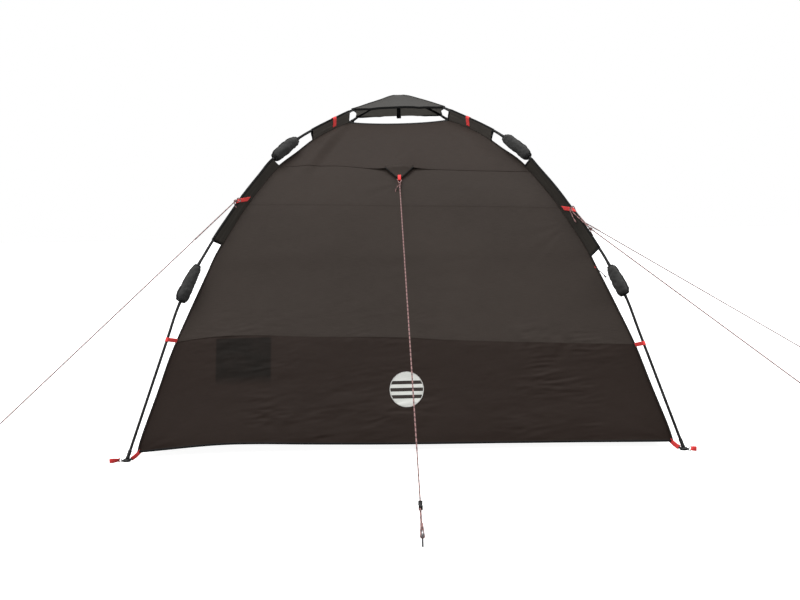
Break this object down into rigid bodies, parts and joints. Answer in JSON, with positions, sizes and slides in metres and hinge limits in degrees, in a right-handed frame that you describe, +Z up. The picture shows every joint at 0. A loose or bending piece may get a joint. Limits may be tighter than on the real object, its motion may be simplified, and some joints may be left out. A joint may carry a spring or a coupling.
{
  "type": "pop-up fishing tent",
  "caption": "Square pop-up fishing tent on folding legs: fabric body with an arched doorway, roof vent under a top cap, guy lines with pegs and a loose groundsheet.",
  "frame": {"origin": "on the ground at the centre of the four feet, on the underside of the groundsheet", "axes": "+Z up, -Y towards the back wall that the picture shows, +Y towards the doorway, +X to the right seen from the back"},
  "size_m": [4.3708, 4.8069, 1.657],
  "materials": {
    "tent_fabric": "coated woven polyester, dark grey",
    "cap_fabric": "coated woven polyester, dark grey",
    "knuckle_fabric": "padded woven cover",
    "groundsheet_fabric": "coated woven sheet, pale grey",
    "webbing": "red webbing",
    "guy_cord": "braided cord, red with white flecks",
    "dark_tube": "black coated tube",
    "black_plastic": "moulded",
    "steel": "zinc plated wire"
  },
  "bodies": {
    "root": {"hub": "black_plastic", "back_left_upper_pole": "dark_tube", "back_left_middle_pole": "dark_tube", "back_left_lower_pole": "dark_tube", "back_left_upper_knuckle": "knuckle_fabric", "back_left_lower_knuckle": "knuckle_fabric", "back_left_foot": "black_plastic", "back_left_upper_web": "tent_fabric", "back_left_lower_web": "tent_fabric", "back_right_upper_pole": "dark_tube", "back_right_middle_pole": "dark_tube", "back_right_lower_pole": "dark_tube", "back_right_upper_knuckle": "knuckle_fabric", "back_right_lower_knuckle": "knuckle_fabric", "back_right_foot": "black_plastic", "back_right_upper_web": "tent_fabric", "back_right_lower_web": "tent_fabric", "front_right_upper_pole": "dark_tube", "front_right_middle_pole": "dark_tube", "front_right_lower_pole": "dark_tube", "front_right_upper_knuckle": "knuckle_fabric", "front_right_lower_knuckle": "knuckle_fabric", "front_right_foot": "black_plastic", "front_right_upper_web": "tent_fabric", "front_right_lower_web": "tent_fabric", "front_left_upper_pole": "dark_tube", "front_left_middle_pole": "dark_tube", "front_left_lower_pole": "dark_tube", "front_left_upper_knuckle": "knuckle_fabric", "front_left_lower_knuckle": "knuckle_fabric", "front_left_foot": "black_plastic", "front_left_upper_web": "tent_fabric", "front_left_lower_web": "tent_fabric", "back_wall": "tent_fabric", "back_roof_flap": "tent_fabric", "right_wall": "tent_fabric", "right_roof_flap": "tent_fabric", "front_wall": "tent_fabric", "front_roof_flap": "tent_fabric", "left_wall": "tent_fabric", "left_roof_flap": "tent_fabric", "top_cap": "cap_fabric", "groundsheet": "groundsheet_fabric", "storage_pocket": "tent_fabric", "rolled_door": "tent_fabric", "back_left_guy_line": "guy_cord", "back_right_guy_line": "guy_cord", "front_right_guy_line": "guy_cord", "front_left_guy_line": "guy_cord", "back_guy_line": "guy_cord", "right_guy_line": "guy_cord"}
  },
  "joints": []
}
